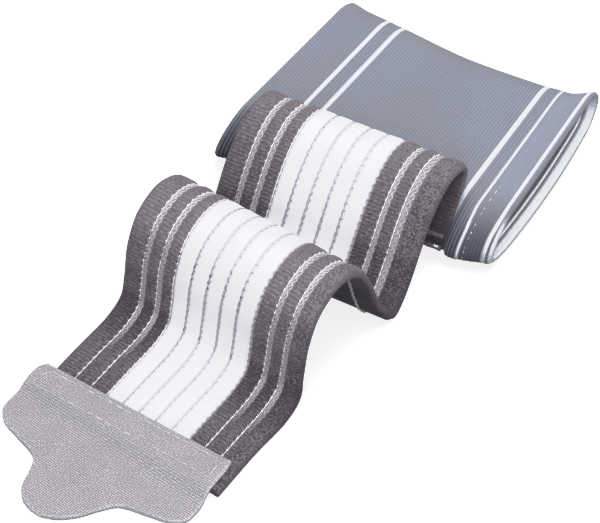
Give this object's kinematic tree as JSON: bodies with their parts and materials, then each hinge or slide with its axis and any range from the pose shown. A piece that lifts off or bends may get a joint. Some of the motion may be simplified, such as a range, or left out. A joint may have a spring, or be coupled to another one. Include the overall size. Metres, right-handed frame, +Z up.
{
  "type": "wrist support",
  "caption": "Open knitted wrist sleeve with a ribbed elastic wrap strap that lies in standing folds and ends in a lobed tab of hook tape.",
  "frame": {"origin": "on the table, under the middle of the whole support's box", "axes": "+Y from the tab along the strap to the sleeve, +X to the right across the strap, +Z up"},
  "size_m": [0.0878, 0.2032, 0.0347],
  "materials": {
    "sleeve_knit": "fine ribbed knit, blue-grey with white stripes",
    "strap_elastic": "ribbed elastic band, dark grey with a white middle",
    "tab_tape": "fine woven hook tape, pale grey"
  },
  "bodies": {
    "root": {"wrist_sleeve": "sleeve_knit", "wrap_strap": "strap_elastic", "hook_tab": "tab_tape"}
  },
  "joints": []
}
